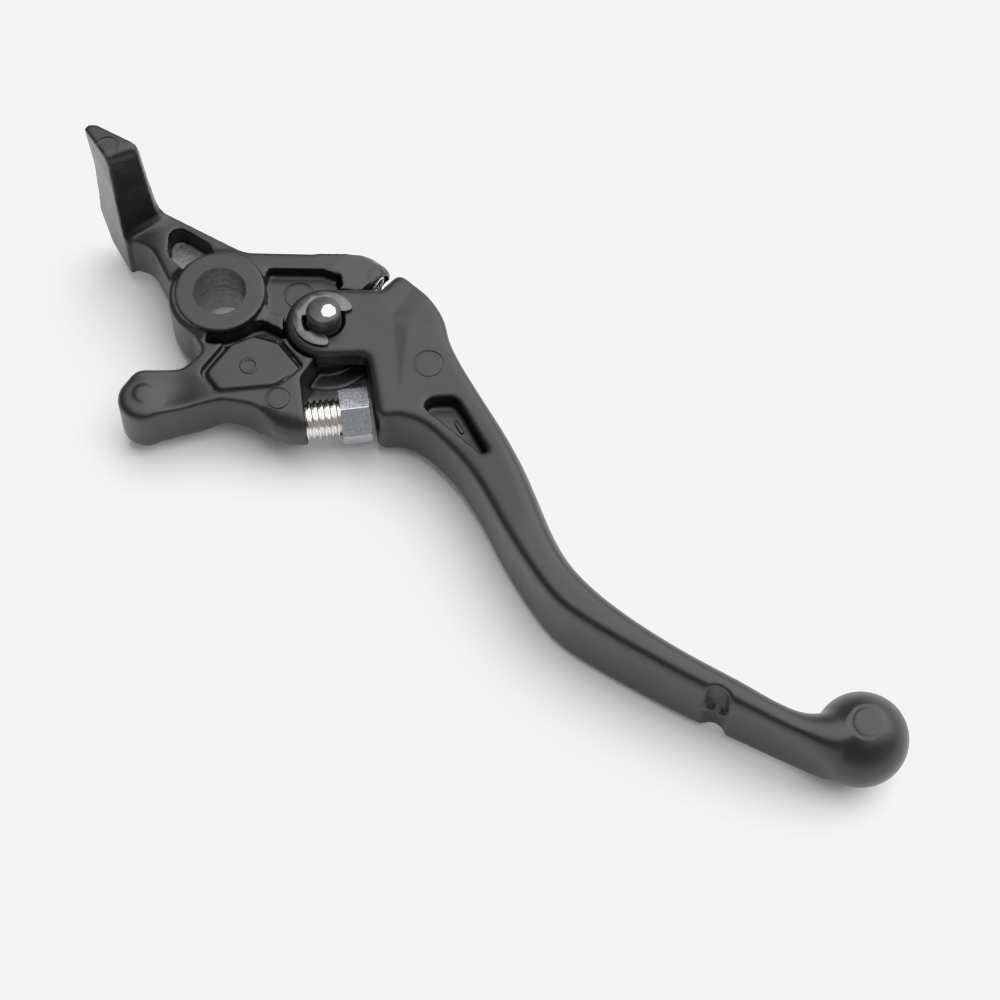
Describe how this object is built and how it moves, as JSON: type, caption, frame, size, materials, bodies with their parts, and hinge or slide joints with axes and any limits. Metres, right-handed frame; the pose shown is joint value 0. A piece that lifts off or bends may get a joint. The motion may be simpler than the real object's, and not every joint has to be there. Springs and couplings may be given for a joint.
{
  "type": "clutch lever",
  "caption": "Motorcycle clutch lever: a curved finger blade with a ball end, hinged to a pivot casting with an upright post, a nose and a reach adjuster.",
  "frame": {"origin": "middle of the pivot bore, on its axis and half way through the boss", "axes": "+Z along the pivot bore towards the top of the post, +X from the bore to the middle of the ball end, +Y away from the handlebar"},
  "size_m": [0.201, 0.0601, 0.044],
  "materials": {
    "base_casting": "satin black powder coat on cast aluminium",
    "blade_casting": "satin black powder coat on cast aluminium",
    "hinge_pin": "dark phosphate",
    "e_clip": "grey phosphate spring steel",
    "adjuster_stud": "bright nickel plate",
    "adjuster_nut": "zinc plate",
    "reach_spring": "bright spring wire"
  },
  "bodies": {
    "base": {"base_casting": "base_casting", "adjuster_stud": "adjuster_stud", "reach_spring": "reach_spring"},
    "blade": {"blade_casting": "blade_casting"},
    "pin": {"hinge_pin": "hinge_pin", "e_clip": "e_clip"},
    "nut": {"adjuster_nut": "adjuster_nut"}
  },
  "joints": [
    {"name": "reach_pivot", "type": "hinge", "parent": "base", "child": "blade", "pos_m": [0.021, 0.0075, 0], "axis": [0, 0, -1], "range_deg": [0, 5.5], "deforming": ["reach_spring"]},
    {"name": "adjuster_feed", "type": "slide", "parent": "base", "child": "nut", "axis": [-0.712, -0.7022, 0], "range_m": [0, 0.0025]},
    {"name": "pin_turn", "type": "hinge", "parent": "base", "child": "pin", "pos_m": [0.021, 0.0075, 0], "axis": [0, 0, 1], "continuous": true}
  ],
  "couplings": [
    {"joint": "adjuster_feed", "follows": "reach_pivot", "m_per_rad": 0.0248}
  ]
}
